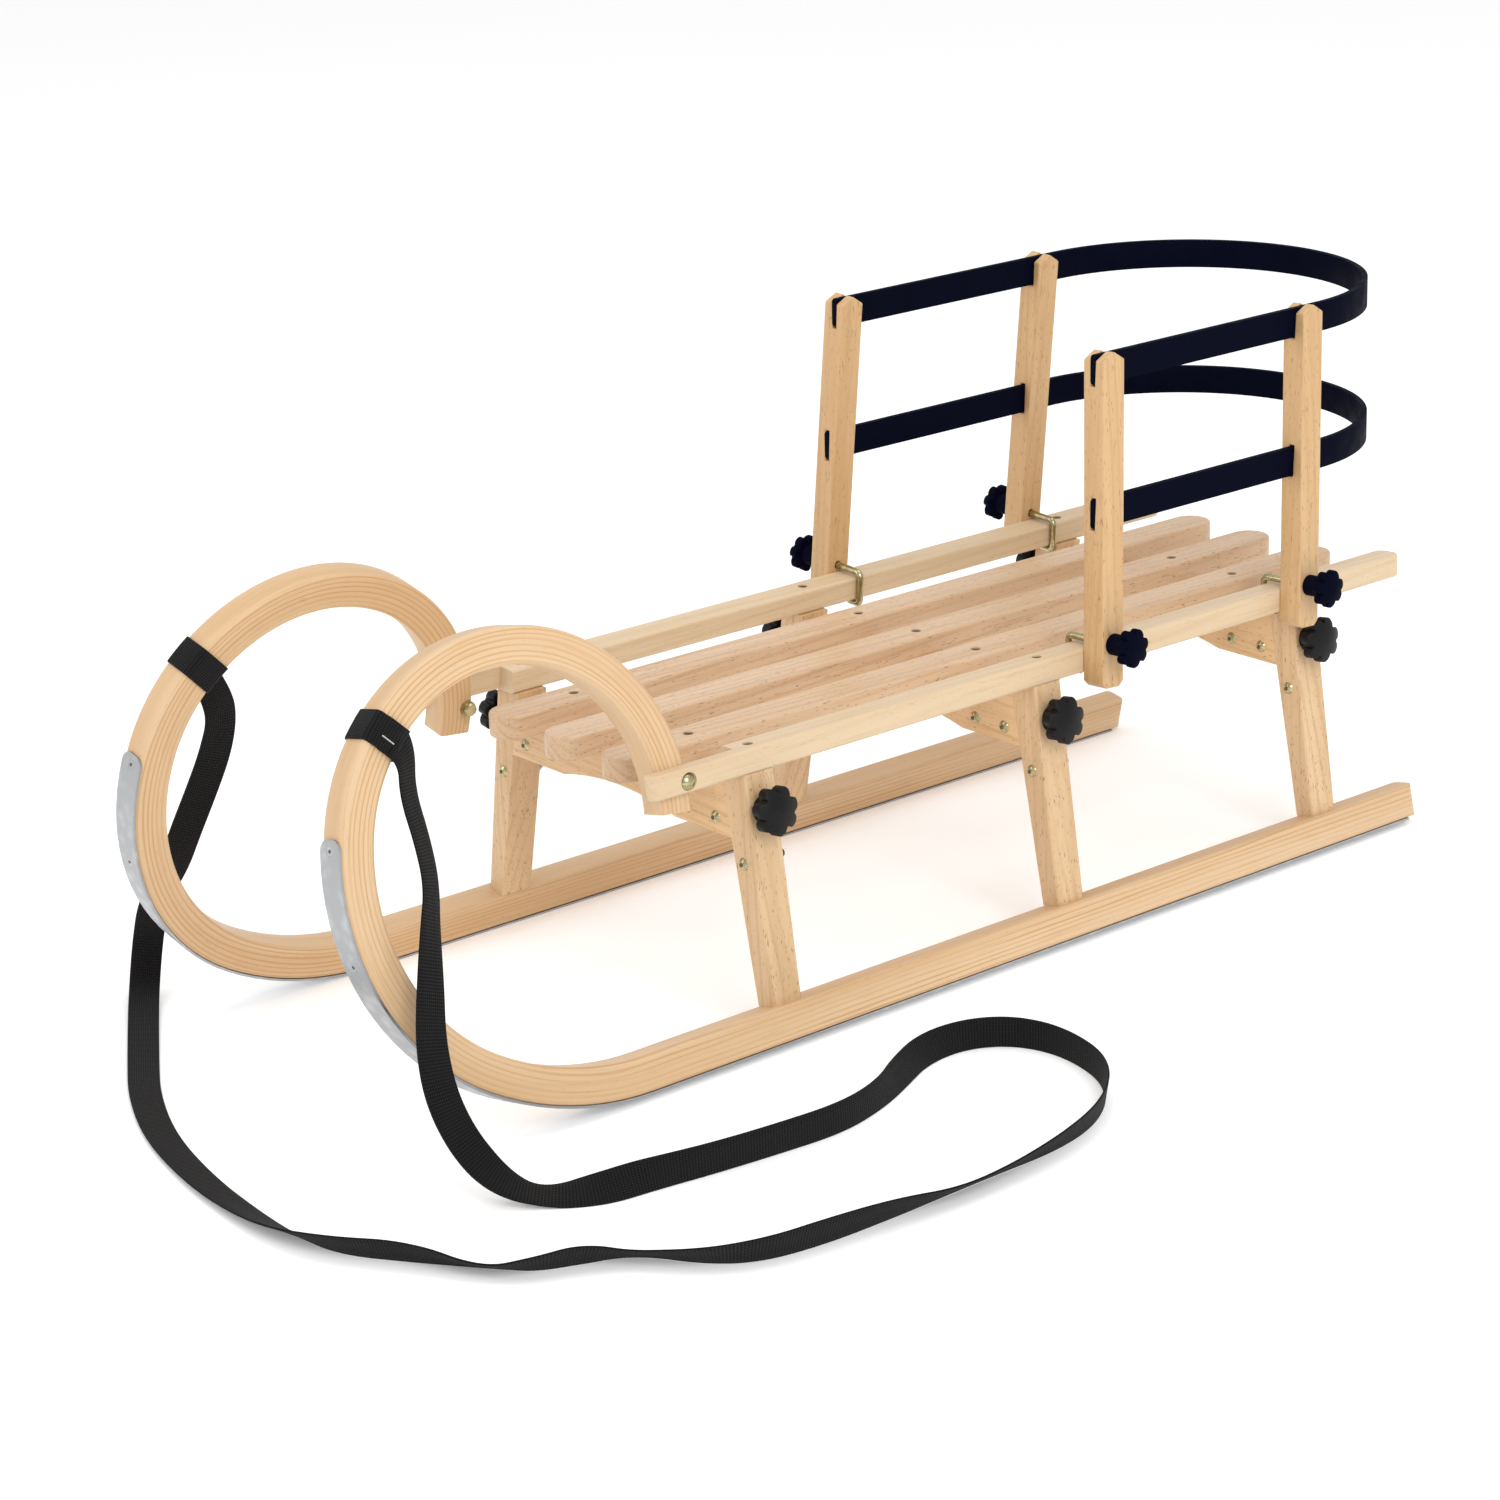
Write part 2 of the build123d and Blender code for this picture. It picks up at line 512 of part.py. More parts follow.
# ---- Backrest posts, hooks and knobs -----------------------------------------------------------------
post_axis = rail_up * cos(lean) - Vector(1, 0, 0) * sin(lean)
post_forward = Vector(1, 0, 0) * cos(lean) + rail_up * sin(lean)
upright = cos(lean) * cos(slant)
for place, station in (("front", post_front_x), ("rear", post_rear_x)):
    stand = Plane(origin=rail_point(station, clear, hook_up), x_dir=post_forward, z_dir=post_axis)
    low = (post_low_z - stand.origin.Z) / upright
    high = (post_top_z - stand.origin.Z) / upright
    half = post_w / 2
    with BuildPart() as post_left:
        with BuildSketch(Plane(origin=stand.origin, x_dir=post_forward, z_dir=rail_out * -1)):
            Polygon((-half, low + post_chamfer), (-half + post_chamfer, low), (half - post_chamfer, low),
                    (half, low + post_chamfer), (half, high - post_ridge), (0, high),
                    (-half, high - post_ridge), align=None)
        extrude(amount=-post_t)
        for low_z, open_top in ((upper_band_z, True), (lower_band_z, False)):
            radius, centre_x = band_centre(low_z)
            slot_x = mid_x + post_x(station, low_z + band_h / 2)
            slot_low = low_z - band_end_gap
            slot_high = post_top_z + 20 if open_top else low_z + band_h + band_end_gap
            with BuildSketch(Plane(origin=(slot_x - 40, 0, 0), x_dir=(0, 1, 0), z_dir=(1, 0, 0))):
                with Locations((radius, (slot_low + slot_high) / 2)):
                    Rectangle(band_t + 2 * band_side_gap, slot_high - slot_low)
            extrude(amount=80, mode=Mode.SUBTRACT)
        across = Plane(origin=stand.origin, x_dir=(1, 0, 0), z_dir=rail_out)
        add(rod(across, hook_r + clear, -5, post_t + 5), mode=Mode.SUBTRACT)
    save_pair(post_left.part, f"post_{place}")

    bend = Plane(origin=rail_point(station, 0, 0), x_dir=rail_out, z_dir=(1, 0, 0))
    tail_out = clear + post_t + clear + hook_travel + hook_hold
    drop = -rail_h - hook_under - hook_r
    inner = -rail_w - clear - hook_r
    with BuildPart() as hook_left:
        with BuildLine(bend):
            FilletPolyline((tail_out, hook_up), (inner, hook_up), (inner, drop), (-rail_w + hook_lip, drop),
                           radius=hook_bend_r)
        with BuildSketch(Plane(origin=rail_point(station, tail_out, hook_up), z_dir=rail_out * -1)):
            Circle(hook_r)
        sweep()
    save_pair(hook_left.part, f"hook_{place}")

    seat = Plane(origin=rail_point(station, clear + post_t + clear, hook_up), x_dir=(1, 0, 0), z_dir=rail_out)
    knob = star_knob(seat, back_knob_r, back_knob_h, back_hub_r, back_hub_h)
    knob = knob - rod(seat, hook_r + clear, -1, back_hub_h + back_knob_h - knob_cap)
    save_pair(knob, f"backrest_knob_{place}")

# ---- Pull strap --------------------------------------------------------------------------------------
half_angle = degrees(strap_w / 2 / (horn_r + runner_h / 2))


def ring_sector(grow, spread, inner_w, outer_w):
    """A sector of the horn's bend, grown all round, between two depths of its side view."""
    near, far = horn_r - grow, horn_r + runner_h + grow
    with BuildPart() as sector:
        with BuildSketch(side.offset(outer_w)):
            with BuildLine():
                start, end = loop_angle - spread, loop_angle + spread
                outer = CenterArc(horn_c, far, start, end - start)
                inner = CenterArc(horn_c, near, start, end - start)
                Line(outer @ 0, inner @ 0)
                Line(outer @ 1, inner @ 1)
            make_face()
        extrude(amount=inner_w - outer_w)
    return sector.part


wrap = strap_gap + strap_t
loop_left = ring_sector(wrap, half_angle, runner_w + wrap, -wrap)
loop_left = loop_left - ring_sector(strap_gap, half_angle + 2, runner_w + strap_gap, -strap_gap)
save_pair(loop_left, "strap_loop")

floor_z = strap_w / 2
tie_r = horn_r - wrap - strap_w / 2 - tie_gap
tie = side_point(horn_c[0] + tie_r * cos(radians(loop_angle)), horn_c[1] + tie_r * sin(radians(loop_angle)),
                 tie_inward)
lay = [(607, 160, 232), (634, 192, 160), (659, 226, 88), (640, 280, 30), (560, 318, floor_z),
       (468, 337, floor_z), (378, 340, floor_z), (290, 300, floor_z), (203, 283, floor_z),
       (147, 374, floor_z), (197, 470, floor_z), (306, 489, floor_z), (430, 486, floor_z),
       (560, 474, floor_z), (640, 402, floor_z), (726, 350, floor_z), (775, 254, floor_z),
       (790, 150, floor_z), (764, 10, floor_z), (700, -115, floor_z), (634, -225, floor_z),
       (588, -288, 45), (580, -262, 128), (590, -196, 190), (594, -165, 242)]
route = [tie] + [Vector(mid_x + x, y, z) for x, y, z in lay] + [Vector(tie.X, -tie.Y, tie.Z)]
runs = [(b - a).length for a, b in zip(route, route[1:])]
turns = [radians((b - a).get_angle(c - b)) for a, b, c in zip(route, route[1:], route[2:])]
radii = [0.45 * min(runs[i], runs[i + 1]) / tan(turns[i] / 2) for i in range(len(turns))]
print("strap bend radii, mm:", [round(r) for r in radii])
print("strap turns, deg:", [round(degrees(t)) for t in turns])
print("strap runs, mm:", [round(r) for r in runs])
with BuildPart() as pull_strap:
    with BuildLine() as strap_line:
        FilletPolyline(*route, radius=radii)
    with BuildSketch(Plane(origin=route[0], z_dir=route[1] - route[0])):
        Circle(strap_w / 2)
    sweep()
strap_length = strap_line.wires()[0].length
print("strap length, mm:", round(strap_length), "volume ratio:",
      round(pull_strap.part.volume / (strap_length * pi * (strap_w / 2) ** 2), 4))
save(pull_strap.part, "pull_strap")
print("middle trestle's front face at X =", round(mid_x, 2), " overall X = +-", round(front_reach + mid_x, 2))
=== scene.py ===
# %% [markdown]
# A wooden toboggan with curled horns, a slatted seat and a clamp-on backrest for a child.
# The engineering model is loaded first. It fixes every size and place, so each piece made here
# goes exactly where that model says.

# %% Load the model
from math import cos, pi, radians, sin, sqrt

import bmesh
import bpy
from mathutils import Matrix, Vector


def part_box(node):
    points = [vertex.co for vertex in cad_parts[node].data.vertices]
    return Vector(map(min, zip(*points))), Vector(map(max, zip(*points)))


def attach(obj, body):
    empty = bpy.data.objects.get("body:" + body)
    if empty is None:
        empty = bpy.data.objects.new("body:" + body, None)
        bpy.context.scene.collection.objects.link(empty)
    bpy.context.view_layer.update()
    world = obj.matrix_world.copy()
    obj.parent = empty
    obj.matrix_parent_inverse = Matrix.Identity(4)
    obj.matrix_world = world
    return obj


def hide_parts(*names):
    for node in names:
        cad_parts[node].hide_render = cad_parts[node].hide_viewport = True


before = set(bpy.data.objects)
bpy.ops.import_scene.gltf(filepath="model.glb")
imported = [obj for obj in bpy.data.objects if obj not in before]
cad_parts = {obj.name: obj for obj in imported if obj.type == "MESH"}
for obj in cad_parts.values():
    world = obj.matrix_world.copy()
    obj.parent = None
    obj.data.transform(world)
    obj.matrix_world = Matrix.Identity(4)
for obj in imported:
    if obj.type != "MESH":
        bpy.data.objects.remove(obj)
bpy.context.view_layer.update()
MM = 0.001

# %% [markdown]
# The sled's own measuring line is the front face of its middle trestle. A point is given from there
# in millimetres and `at` turns it into a Blender place in metres. The runners lean in by 12 degrees,
# so a second helper, `on_runner`, reads a point in the leaning side view of the left runner.

# %% Places on the sled
MIDDLE_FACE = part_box("yoke_middle")[1][0] / MM
LEAN = radians(12.0)
TRACK_HALF, RUNNER_W, RUNNER_H, GUARD_T, GUARD_INSET = 174.4, 26.0, 29.0, 2.0, 0.5
EDGE_Y = TRACK_HALF + RUNNER_W * cos(LEAN)
EDGE_Z = (RUNNER_W - GUARD_INSET) * sin(LEAN)


def at(x, y, z):
    return Vector(((MIDDLE_FACE + x) * MM, y * MM, z * MM))


def on_runner(x, v, inward=0.0):
    """A point of the left runner: along, up its leaning face, and in from its outer face."""
    y = EDGE_Y - v * sin(LEAN) - inward * cos(LEAN)
    z = EDGE_Z + v * cos(LEAN) - inward * sin(LEAN)
    return at(x, y, z)


print("middle trestle's front face at", round(MIDDLE_FACE, 2), "mm")

# %% [markdown]
# The camera looks down on the horn end from the sled's left. A long lens keeps the slats nearly
# parallel. The view is written as a compass angle, a height angle and a small roll, and the three
# axes of the camera are worked out from those, which is easier to read than a rotation matrix.

# %% Camera
AZIMUTH, ELEVATION, ROLL = radians(140.52), radians(18.83), radians(-1.87)
forward = Vector((-sin(AZIMUTH) * cos(ELEVATION), cos(AZIMUTH) * cos(ELEVATION), -sin(ELEVATION)))
right = forward.cross(Vector((0, 0, 1))).normalized()
up = right.cross(forward)
right_rolled = right * cos(ROLL) + up * sin(ROLL)
up_rolled = up * cos(ROLL) - right * sin(ROLL)
camera_data = bpy.data.cameras.new("studio_camera")
camera_data.lens, camera_data.sensor_width = 93.09, 36.0
camera = bpy.data.objects.new("studio_camera", camera_data)
bpy.context.scene.collection.objects.link(camera)
turn = Matrix((right_rolled, up_rolled, -forward)).transposed().to_4x4()
camera.matrix_world = Matrix.Translation(at(2104.2, 2345.2, 1204.7)) @ turn
bpy.context.scene.camera = camera
print("camera looks along", [round(v, 3) for v in forward])

# %% [markdown]
# Materials are node trees. Writing each node by hand hides what a finish is made of, so a small
# class keeps the tree and offers the few building blocks that all the finishes share: a noise, a
# ramp from one colour to another, a mix, and a bump.

# %% A small kit for finishes


class Finish:
    def __init__(self, name, roughness=0.5, metallic=0.0, coat=0.0, gloss=0.5):
        self.material = bpy.data.materials.new(name)
        self.material.use_nodes = True
        self.tree = self.material.node_tree
        self.shader = self.tree.nodes["Principled BSDF"]
        self.shader.inputs["Roughness"].default_value = roughness
        self.shader.inputs["Metallic"].default_value = metallic
        self.shader.inputs["Coat Weight"].default_value = coat
        self.shader.inputs["Specular IOR Level"].default_value = gloss
        self.shader.inputs["Coat Roughness"].default_value = 0.25

    def node(self, kind, **values):
        made = self.tree.nodes.new(kind)
        for key, value in values.items():
            setattr(made, key, value)
        return made

    def link(self, source, target):
        self.tree.links.new(source, target)

    def place(self, attribute=None):
        """Where the surface is: object coordinates, or a named attribute that follows the piece."""
        if attribute:
            return self.node("ShaderNodeAttribute", attribute_name=attribute).outputs["Vector"]
        return self.node("ShaderNodeTexCoord").outputs["Object"]

    def stretch(self, source, scale, rotation=(0, 0, 0)):
        mapping = self.node("ShaderNodeMapping")
        mapping.inputs["Scale"].default_value = scale
        mapping.inputs["Rotation"].default_value = rotation
        self.link(source, mapping.inputs["Vector"])
        return mapping.outputs["Vector"]

    def noise(self, source, scale, detail=3.0, roughness=0.5, distortion=0.0):
        made = self.node("ShaderNodeTexNoise")
        made.inputs["Scale"].default_value = scale
        made.inputs["Detail"].default_value = detail
        made.inputs["Roughness"].default_value = roughness
        made.inputs["Distortion"].default_value = distortion
        self.link(source, made.inputs["Vector"])
        return made.outputs["Fac"]

    def ramp(self, source, low, high, low_value=0.0, high_value=1.0):
        made = self.node("ShaderNodeMapRange", interpolation_type="SMOOTHSTEP")
        limits = {"From Min": low, "From Max": high, "To Min": low_value, "To Max": high_value}
        for name, value in limits.items():
            made.inputs[name].default_value = value
        self.link(source, made.inputs["Value"])
        return made.outputs["Result"]

    def mix(self, share, first, second):
        made = self.node("ShaderNodeMix", data_type="RGBA")
        values = ((made.inputs[0], share), (made.inputs[6], first), (made.inputs[7], second))
        for socket, value in values:
            if isinstance(value, (tuple, list)):
                socket.default_value = (*value, 1.0)
            elif isinstance(value, float):
                socket.default_value = value
            else:
                self.link(value, socket)
        return made.outputs[2]

    def maths(self, kind, first, second):
        made = self.node("ShaderNodeMath", operation=kind)
        for socket, value in zip(made.inputs, (first, second)):
            if isinstance(value, float):
                socket.default_value = value
            else:
                self.link(value, socket)
        return made.outputs[0]

    def bump(self, height, distance, strength=1.0):
        made = self.node("ShaderNodeBump")
        made.inputs["Distance"].default_value = distance
        made.inputs["Strength"].default_value = strength
        self.link(height, made.inputs["Height"])
        self.link(made.outputs["Normal"], self.shader.inputs["Normal"])

    def colour(self, source):
        self.link(source, self.shader.inputs["Base Color"])

    def rough(self, source):
        self.link(source, self.shader.inputs["Roughness"])


def dress(node, finish):
    """Gives a model piece its finish."""
    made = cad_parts[node]
    for slot in made.material_slots:
        slot.material = finish.material
    if not made.material_slots:
        made.data.materials.append(finish.material)


print("finish kit ready")

# %% [markdown]
# The pull strap is 25 mm polyester webbing. It hangs from both horns, turning a little on its way
# down, then lies on the floor, mostly standing on its edge. Two smooth curves with matching points
# describe it: the middle line, and the direction of its width. Hanging points give that direction
# outright; floor points only say how upright the strap stands, from 0 flat to 90 on edge.

# %% The strap's route
STRAP_W, STRAP_T = 25.0, 1.6
near_hang = [
    ((614.6, 136.8, 315.5), (0.71, 0.15, -0.69)), ((607, 137, 304), (0.84, 0.42, -0.34)),
    ((611, 141, 276), (0.85, 0.52, -0.08)), ((609, 153, 243), (0.85, 0.53, -0.02)),
    ((611, 165, 212), (0.85, 0.53, 0.00)), ((623, 177, 183), (0.90, 0.40, 0.00)),
    ((636, 192, 148), (0.97, 0.15, 0.00)), ((650, 208, 112), (0.97, -0.05, 0.00)),
    ((656, 226, 76), (0.90, -0.35, -0.05)),
    ((651, 247, 43), (0.85, -0.50, -0.15)), ((636, 266, 17), (0.95, 0.10, -0.10)),
]
floor_lay = [
    (612, 285, 8), (580, 312, 45), (540, 323, 80), (496, 332, 88), (440, 339, 90), (378, 344, 88),
    (330, 332, 85), (290, 310, 62), (250, 291, 66), (210, 291, 84), (179, 308, 88), (164, 337, 90),
    (163, 371, 90), (174, 412, 88), (200, 445, 82), (240, 471, 72), (290, 484, 58), (345, 486, 38),
    (400, 487, 34), (455, 484, 60), (510, 480, 72), (562, 472, 66), (598, 448, 50), (625, 405, 30),
    (660, 387, 60), (690, 376, 48), (712, 352, 24), (742, 303, 62), (775, 257, 55), (785, 205, 30),
    (783, 150, 14), (776, 85, 8), (757, 0, 5), (724, -78, 4), (684, -144, 4), (642, -212, 6),
]
far_hang = [
    ((612, -258, 9), (0.80, -0.50, 0.30)), ((600, -268, 40), (0.85, -0.50, 0.10)),
    ((604, -246, 84), (0.80, -0.60, -0.20)), ((603, -212, 122), (0.80, -0.60, -0.15)),
    ((602, -190, 158), (0.80, -0.60, 0.00)), ((594, -172, 197), (0.85, -0.50, 0.10)),
    ((588, -157, 231), (0.85, -0.40, 0.30)), ((587, -145, 262), (0.80, 0.10, 0.60)),
    ((596, -138, 286), (0.72, -0.10, 0.69)), ((608, -134, 307), (0.71, -0.15, 0.69)),
]
print("strap points:", len(near_hang) + len(floor_lay) + len(far_hang))


# %% [markdown]
# On the floor the width direction comes from the travel direction: sideways when the strap lies
# flat, straight up when it stands on its edge. Its middle line rises with it, so that the lower
# edge always rests on the floor.

# %% Middle line and width line
def floor_width(before, after, stand):
    travel = Vector((after[0] - before[0], after[1] - before[1], 0)).normalized()
    sideways = Vector((-travel.y, travel.x, 0))
    return sideways * cos(radians(stand)) + Vector((0, 0, 1)) * sin(radians(stand))


middle, width = [], []
for spot, direction in near_hang:
    middle.append(at(*spot))
    width.append(Vector(direction).normalized())
flat_spots = [near_hang[-1][0][:2]] + [p[:2] for p in floor_lay] + [far_hang[0][0][:2]]
for i, (x, y, stand) in enumerate(floor_lay):
    rise = STRAP_W / 2 * sin(radians(stand)) + STRAP_T / 2 * cos(radians(stand)) + 0.3
    middle.append(at(x, y, rise))
    width.append(-floor_width(flat_spots[i], flat_spots[i + 2], stand))
for spot, direction in far_hang:
    middle.append(at(*spot))
    width.append(Vector(direction).normalized())
for i in range(1, len(width)):
    if width[i].dot(width[i - 1]) < -0.25:
        width[i] = -width[i]


def smooth_line(name, points):
    """Points on the smooth curve that the given control points steer."""
    curve = bpy.data.curves.new(name, "CURVE")
    curve.dimensions, curve.resolution_u = "3D", 8
    spline = curve.splines.new("NURBS")
    spline.points.add(len(points) - 1)
    for point, place in zip(spline.points, points):
        point.co = (*place, 1.0)
    spline.order_u, spline.use_endpoint_u = 3, True
    holder = bpy.data.objects.new(name, curve)
    bpy.context.scene.collection.objects.link(holder)
    bpy.context.view_layer.update()
    line = bpy.data.meshes.new_from_object(holder.evaluated_get(bpy.context.evaluated_depsgraph_get()))
    spots = [v.co.copy() for v in line.vertices]
    bpy.data.objects.remove(holder)
    bpy.data.meshes.remove(line)
    return spots


strap_line = smooth_line("strap_middle", middle)
strap_side = smooth_line("strap_edge", [m + w * STRAP_W / 2 * MM for m, w in zip(middle, width)])

# %% [markdown]
# A swept section makes both the strap and the bent runners. The same helper builds the rings of
# corners, joins them with quads, closes the ends and stores where each corner is along and across
# the piece. Finishes read that "lay" attribute, so weave and grain follow every bend.

# %% Sweep helper


def new_piece(name, mesh):
    piece = bpy.data.objects.new(name, mesh)
    bpy.context.scene.collection.objects.link(piece)
    return piece


def swept(name, rings, lays, finish, smooth=True):
    """A closed tube from rings of corners. lays gives (along, up, across) in metres for each corner."""
    mesh = bpy.data.meshes.new(name)
    work = bmesh.new()
    layer = work.verts.layers.float_vector.new("lay")
    rows = []
    for ring, lay in zip(rings, lays):
        row = []
        for corner, place in zip(ring, lay):
            vertex = work.verts.new(corner)
            vertex[layer] = place
            row.append(vertex)
        rows.append(row)
    count = len(rows[0])
    for first, second in zip(rows, rows[1:]):
        for i in range(count):
            j = (i + 1) % count
            work.faces.new((first[i], first[j], second[j], second[i]))
    work.faces.new(rows[0][::-1])
    work.faces.new(rows[-1])
    bmesh.ops.recalc_face_normals(work, faces=work.faces)
    work.to_mesh(mesh)
    work.free()
    mesh.materials.append(finish.material)
    if smooth:
        mesh.shade_smooth()
    return new_piece(name, mesh)


print("sweep helper ready")

# %% [markdown]
# Webbing is a tight plain weave. Seen close it is a grid of small rounded bumps a bit over a
# millimetre long, set in rows along the strap, with a firmer edge. Two crossed waves multiplied
# together give the bumps, and a slow noise keeps the black from looking printed. The crowns of
# the bumps are painted a lighter grey: a painted highlight where light catches the threads.

# %% Webbing finish


def webbing_finish(name, attribute):
    finish = Finish(name, roughness=0.8, gloss=0.1)
    where = finish.place(attribute)
    bumps = []
    for axis, pitch in (("X", 2.5), ("Z", 1.8)):
        wave = finish.node("ShaderNodeTexWave", wave_type="BANDS", bands_direction=axis)
        wave.inputs["Scale"].default_value = 2 * pi / (pitch * MM) / 20
        wave.inputs["Distortion"].default_value = 0.25
        finish.link(where, wave.inputs["Vector"])
        bumps.append(wave.outputs["Fac"])
    weave = finish.maths("MULTIPLY", bumps[0], bumps[1])
    cloud = finish.noise(where, 40.0)
    dark = finish.mix(cloud, (0.0030, 0.0028, 0.0030), (0.0065, 0.0060, 0.0062))
    # Painted highlight: the crowns of the weave are mixed towards a lighter grey than the black thread.
    finish.colour(finish.mix(weave, dark, (0.022, 0.021, 0.021)))
    finish.bump(weave, 0.0005, 1.0)
    finish.shader.inputs["Sheen Weight"].default_value = 0.04
    finish.shader.inputs["Sheen Roughness"].default_value = 0.5
    return finish


strap_web = webbing_finish("strap_webbing", "lay")

# %% [markdown]
# The ribbon itself: at every point of the middle line the width direction comes from the second
# curve, squared up against the travel direction. The section is a thin rounded strip.

# %% The pull strap
SECTION = [(-0.5, -0.25), (-0.47, -0.5), (-0.2, -0.5), (0.2, -0.5), (0.47, -0.5), (0.5, -0.25),
           (0.5, 0.25), (0.47, 0.5), (0.2, 0.5), (-0.2, 0.5), (-0.47, 0.5), (-0.5, 0.25)]
rings, lays, travelled = [], [], 0.0
for i, spot in enumerate(strap_line):
    ahead = strap_line[min(i + 1, len(strap_line) - 1)] - strap_line[max(i - 1, 0)]
    travel = ahead.normalized()
    across = strap_side[i] - spot
    across = (across - travel * across.dot(travel)).normalized()
    flat = travel.cross(across)
    if i:
        travelled += (spot - strap_line[i - 1]).length
    ring = [spot + across * a * STRAP_W * MM + flat * b * STRAP_T * MM for a, b in SECTION]
    drop = min(min(c.z for c in ring) - 0.0002, 0.0)
    rings.append([c - Vector((0, 0, drop)) for c in ring])
    lays.append([(travelled, b * STRAP_T * MM, a * STRAP_W * MM) for a, b in SECTION])
pull_strap = swept("pull_strap_webbing", rings, lays, strap_web)
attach(pull_strap, "root")
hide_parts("pull_strap")
print("strap corners:", len(pull_strap.data.vertices))

# %% [markdown]
# Beech and ash under satin varnish. The wood is pale, with long soft streaks, fine darker pores and
# the short flecks that beech shows. All three are the same noise stretched differently along the
# grain, so one function serves every stick, told which way its grain runs. Growth lines are a wave
# that comes and goes along the stick; on the bent runners they follow the bend.

# %% Wood finish


def wood_finish(name, pale, deep, grain_axis, ring_share, fleck, pitch_mm, attribute=None,
                direction="DIAGONAL"):
    """pitch_mm is the distance between growth lines, ring_share and fleck how strongly they show."""
    finish = Finish(name, roughness=0.42, coat=0.12, gloss=0.35)
    where = finish.place(attribute)
    along = {"X": (1, 0, 0), "Y": (0, 1, 0), "Z": (0, 0, 1)}[grain_axis]
    slim = [0.06 if share else 1.0 for share in along]
    lines = finish.stretch(where, slim)
    streaks = finish.ramp(finish.noise(lines, 28.0, 4.0, 0.55, 0.4), 0.32, 0.72)
    fine = finish.noise(finish.stretch(where, [0.02 if s else 1.0 for s in along]), 620.0, 2.0)
    growth = finish.node("ShaderNodeTexWave", wave_type="BANDS", bands_direction=direction)
    diagonal = direction == "DIAGONAL"
    waves_per_scale = 10 if diagonal else 20
    growth.inputs["Scale"].default_value = 2 * pi / (pitch_mm * MM) / waves_per_scale
    growth.inputs["Distortion"].default_value = 3.0 if diagonal else 4.5
    growth.inputs["Detail"].default_value = 2.0
    growth.inputs["Detail Scale"].default_value = 1.2
    finish.link(finish.stretch(where, [0.05 if s else 1.0 for s in along]), growth.inputs["Vector"])
    clouds = finish.noise(finish.stretch(where, slim), 42.0, 2.0)
    come_and_go = finish.ramp(clouds, 0.38, 0.62, 0.25, 1.0)
    rings_share = finish.maths("MULTIPLY", finish.ramp(growth.outputs["Fac"], 0.6, 1.0), come_and_go)
    rings_share = finish.maths("MULTIPLY", rings_share, ring_share)
    body = finish.mix(streaks, pale, [p * 0.55 + d * 0.45 for p, d in zip(pale, deep)])
    body = finish.mix(rings_share, body, deep)
    pores = finish.ramp(fine, 0.56, 0.74)
    body = finish.mix(finish.maths("MULTIPLY", pores, 0.45), body, deep)
    dashes = finish.noise(finish.stretch(where, [0.16 if s else 1.0 for s in along]), 900.0, 1.0)
    flecks = finish.maths("MULTIPLY", finish.ramp(dashes, 0.66, 0.72), fleck)
    finish.colour(finish.mix(flecks, body, [d * 0.62 for d in deep]))
    finish.rough(finish.ramp(streaks, 0.0, 1.0, 0.36, 0.5))
    finish.bump(finish.maths("ADD", fine, growth.outputs["Fac"]), 0.0001, 0.35)
    return finish


ASH_PALE, ASH_DEEP = (0.67, 0.52, 0.345), (0.54, 0.37, 0.205)
BEECH_PALE, BEECH_DEEP = (0.68, 0.475, 0.275), (0.46, 0.265, 0.115)
BENT_PALE, BENT_DEEP = (0.66, 0.47, 0.285), (0.50, 0.27, 0.10)
SEAT_PALE, SEAT_DEEP = (0.65, 0.455, 0.29), (0.44, 0.26, 0.135)
YOKE_PALE, YOKE_DEEP = (0.74, 0.50, 0.27), (0.50, 0.28, 0.115)
POST_PALE, POST_DEEP = (0.61, 0.395, 0.20), (0.46, 0.26, 0.10)
bent_wood = wood_finish("bent_runner_wood", BENT_PALE, BENT_DEEP, "X", 0.8, 0.2, 4.2, "lay", "Y")
rail_wood = wood_finish("outer_slat_wood", ASH_PALE, ASH_DEEP, "X", 0.35, 0.3, 11.0)
seat_wood = wood_finish("seat_slat_wood", SEAT_PALE, SEAT_DEEP, "X", 0.4, 0.8, 9.0)
leg_wood = wood_finish("leg_wood", BEECH_PALE, BEECH_DEEP, "Z", 0.35, 0.95, 10.0)
yoke_wood = wood_finish("yoke_wood", YOKE_PALE, YOKE_DEEP, "Y", 0.35, 0.8, 9.0)
post_wood = wood_finish("post_wood", POST_PALE, POST_DEEP, "Z", 0.4, 0.8, 9.0)
print("wood finishes:", 6)

# %% [markdown]
# The sticks are planed square and then eased along their edges. The model's pieces have sharp
# corners, so a Weld modifier first joins their loose triangles and a Bevel rounds only the real
# edges. The mesh stays as it was; only the modifier stack adds the softness.

# %% Eased edges


def ease(node, width_mm, segments=2):
    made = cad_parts[node]
    weld = made.modifiers.new("join_corners", "WELD")
    weld.merge_threshold = 0.00001
    bevel = made.modifiers.new("eased_edges", "BEVEL")
    bevel.width, bevel.segments = width_mm * MM, segments
    bevel.limit_method, bevel.angle_limit = "ANGLE", radians(40)
    bevel.harden_normals = False


for place in ("front", "middle", "rear"):
    dress(f"yoke_{place}", yoke_wood)
    ease(f"yoke_{place}", 1.2)
    for hand in ("left", "right"):
        dress(f"leg_{place}_{hand}", leg_wood)
        ease(f"leg_{place}_{hand}", 1.4)
for node in ("slat_inner_left", "slat_middle", "slat_inner_right"):
    dress(node, seat_wood)
for hand in ("left", "right"):
    dress(f"slat_outer_{hand}", rail_wood)
    for place in ("front", "rear"):
        dress(f"post_{place}_{hand}", post_wood)
        ease(f"post_{place}_{hand}", 1.2)
print("wooden pieces dressed")

